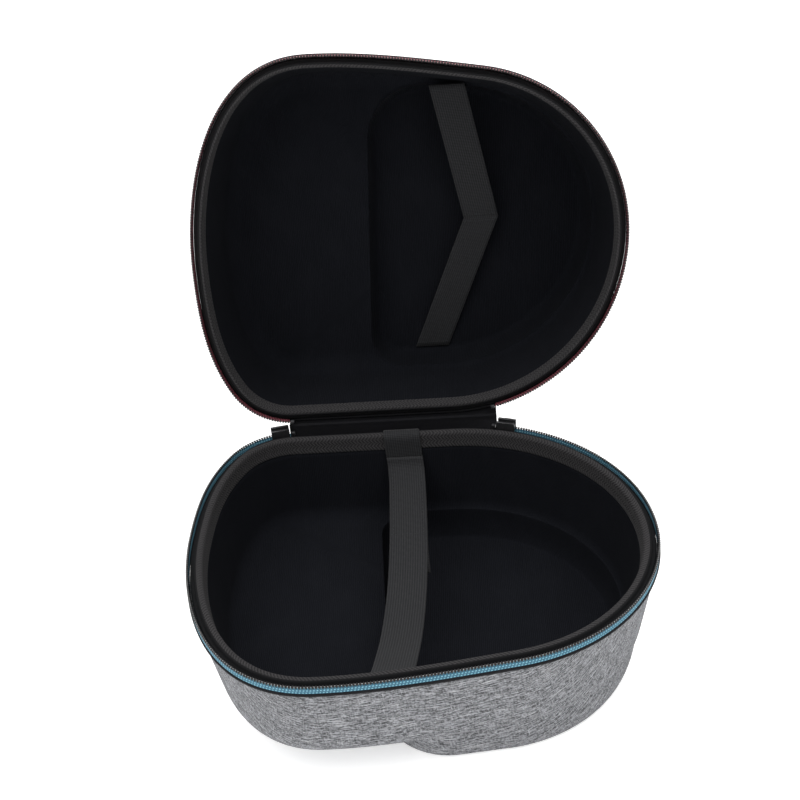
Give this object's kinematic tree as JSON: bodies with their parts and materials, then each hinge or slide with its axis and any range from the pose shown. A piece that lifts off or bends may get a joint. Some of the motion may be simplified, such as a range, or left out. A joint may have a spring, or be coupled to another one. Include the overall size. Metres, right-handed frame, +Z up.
{
  "type": "headphone carrying case",
  "caption": "Hard-shell zip case for over-ear headphones, egg-shaped, open at about 105 degrees on a fabric hinge, with elastic straps inside both halves",
  "frame": {"origin": "on the flat face that the case rests on, under the middle of the rim", "axes": "+Z up, +X along the hinge towards the rounded nose of the case, +Y towards the hinge at the back"},
  "size_m": [0.2348, 0.3124, 0.2685],
  "materials": {
    "melange_fabric": "woven, light and dark grey yarns with short bright slubs",
    "eva_foam": "moulded closed-cell foam",
    "tricot_lining": "brushed knit, matt",
    "binding_twill": "knitted binding, matt",
    "blue_zip_tape": "woven tape, ribbed",
    "red_zip_tape": "woven tape, ribbed",
    "zip_coil": "nylon monofilament, satin",
    "edge_piping": "matt",
    "hinge_fabric": "woven, matt",
    "elastic_webbing": "ribbed elastic, matt",
    "hook_and_loop": "napped",
    "dark_metal": "gunmetal, satin",
    "soft_grip": "moulded, matt"
  },
  "bodies": {
    "base": {"base_outer_fabric": "melange_fabric", "base_foam_shell": "eva_foam", "base_lining": "tricot_lining", "base_rim_binding": "binding_twill", "base_zip_tape": "blue_zip_tape", "base_zip_coil": "zip_coil", "base_edge_piping": "edge_piping", "base_hinge_leaf": "hinge_fabric", "strap_rear_band": "elastic_webbing", "strap_front_band": "elastic_webbing", "strap_loop_patch": "hook_and_loop", "strap_hook_patch": "hook_and_loop", "base_left_zip_stop": "dark_metal", "base_right_zip_stop": "dark_metal"},
    "lid": {"lid_outer_fabric": "melange_fabric", "lid_foam_shell": "eva_foam", "lid_lining": "tricot_lining", "lid_rim_binding": "binding_twill", "lid_zip_tape": "red_zip_tape", "lid_zip_coil": "zip_coil", "lid_edge_piping": "edge_piping", "lid_hinge_leaf": "hinge_fabric", "lid_strap_front_half": "elastic_webbing", "lid_strap_back_half": "elastic_webbing", "lid_left_zip_stop": "dark_metal", "lid_right_zip_stop": "dark_metal"},
    "left_slider": {"left_slider": "dark_metal"},
    "left_pull": {"left_pull_link": "dark_metal", "left_pull_grip": "soft_grip"},
    "right_slider": {"right_slider": "dark_metal"},
    "right_pull": {"right_pull_link": "dark_metal", "right_pull_grip": "soft_grip"}
  },
  "joints": [
    {"name": "lid_hinge", "type": "hinge", "parent": "base", "child": "lid", "pos_m": [0, 0.1009, 0.07463], "axis": [1, 0, 0], "range_deg": [0, 104.6]},
    {"name": "left_slider_travel", "type": "hinge", "parent": "base", "child": "left_slider", "pos_m": [-0.07, 0.0615, 0.071], "axis": [0, 0, 1], "range_deg": [0, 40]},
    {"name": "right_slider_travel", "type": "hinge", "parent": "base", "child": "right_slider", "pos_m": [0.018, -0.0005, 0.071], "axis": [0, 0, -1], "range_deg": [0, 66]},
    {"name": "left_pull_swing", "type": "hinge", "parent": "left_slider", "child": "left_pull", "pos_m": [-0.07831, 0.10175, 0.0723], "axis": [0.9793, 0.2023, 0], "range_deg": [0, 70]},
    {"name": "right_pull_swing", "type": "hinge", "parent": "right_slider", "child": "right_pull", "pos_m": [0.04942, 0.0977, 0.0723], "axis": [0.9524, -0.3047, 0], "range_deg": [0, 70]}
  ]
}
